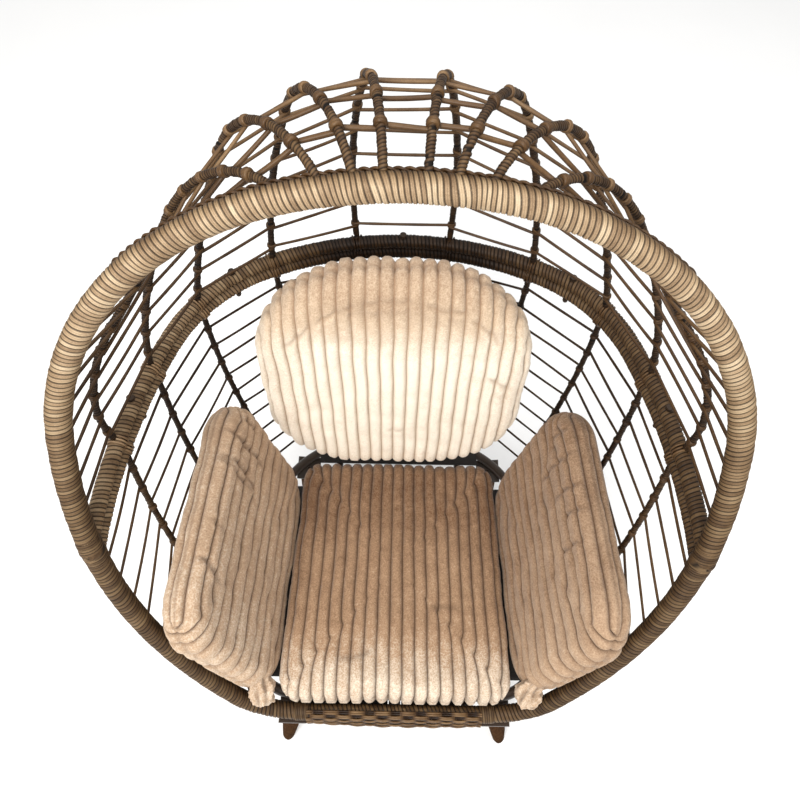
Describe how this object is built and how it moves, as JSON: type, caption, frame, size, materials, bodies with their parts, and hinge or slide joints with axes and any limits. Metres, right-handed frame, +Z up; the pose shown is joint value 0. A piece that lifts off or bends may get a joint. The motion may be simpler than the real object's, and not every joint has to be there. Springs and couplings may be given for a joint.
{
  "type": "egg chair",
  "caption": "Stationary open-weave wicker egg chair: hooded steel-and-wicker shell on splayed legs, with loose ribbed plush seat, back and side cushions for one person to lounge in.",
  "frame": {"origin": "on the floor, at the middle of the chair's outline", "axes": "+Z up, the chair faces -Y, +X to the right when looking along +Y at its front"},
  "size_m": [0.9474, 0.8404, 1.3381],
  "materials": {
    "steel_tube": "dark brown powder coat",
    "wicker_wrap": "variegated tan and brown resin wicker, wrapped",
    "wicker_strand": "brown resin wicker strand",
    "deck_webbing": "dark woven deck strap",
    "fastener": "zinc plated",
    "leg": "dark brown stained",
    "glide": "black moulded",
    "plush_cover": "wide ribbed short-pile plush, beige",
    "foam_fill": "soft fill, hidden"
  },
  "bodies": {
    "frame": {"hood_hoop_tube": "steel_tube", "hood_hoop_wrap": "wicker_wrap", "hood_base_tube": "steel_tube", "hood_base_wrap": "wicker_wrap", "hood_rib_rods": "steel_tube", "hood_rib_wraps": "wicker_wrap", "hood_strands": "wicker_strand", "front_rail_tube": "steel_tube", "front_rail_wrap": "wicker_wrap", "basket_rim_tube": "steel_tube", "basket_rim_wrap": "wicker_wrap", "basket_rib_rods": "steel_tube", "basket_rib_wraps": "wicker_wrap", "basket_strands": "wicker_strand", "seat_frame_tube": "steel_tube", "deck_runner_tubes": "steel_tube", "deck_slats": "deck_webbing", "frame_tabs": "steel_tube", "front_apron_weave": "wicker_strand", "ring_bolts": "fastener", "ring_washers": "fastener", "ring_cap_nuts": "fastener", "hoop_end_caps": "steel_tube", "rail_end_caps": "steel_tube", "junction_bolts": "fastener", "front_left_leg": "leg", "front_right_leg": "leg", "rear_left_leg": "leg", "rear_right_leg": "leg", "leg_plates": "steel_tube", "leg_bolts": "fastener", "foot_glides": "glide"},
    "seat_cushion": {"seat_cushion_cover": "plush_cover", "seat_cushion_fill": "foam_fill"},
    "back_cushion": {"back_cushion_cover": "plush_cover", "back_cushion_fill": "foam_fill"},
    "left_side_cushion": {"left_side_cushion_cover": "plush_cover", "left_side_cushion_fill": "foam_fill"},
    "right_side_cushion": {"right_side_cushion_cover": "plush_cover", "right_side_cushion_fill": "foam_fill"}
  },
  "joints": [
    {"name": "seat_cushion_lift", "type": "slide", "parent": "frame", "child": "seat_cushion", "axis": [0, -0.3, 0.9539], "range_m": [0, 0.2]},
    {"name": "back_cushion_lift", "type": "slide", "parent": "frame", "child": "back_cushion", "axis": [0, -0.1701, 0.9854], "range_m": [0, 0.2]},
    {"name": "left_side_cushion_lift", "type": "slide", "parent": "frame", "child": "left_side_cushion", "axis": [0, 0, 1], "range_m": [0, 0.2]},
    {"name": "right_side_cushion_lift", "type": "slide", "parent": "frame", "child": "right_side_cushion", "axis": [0, 0, 1], "range_m": [0, 0.2]}
  ]
}
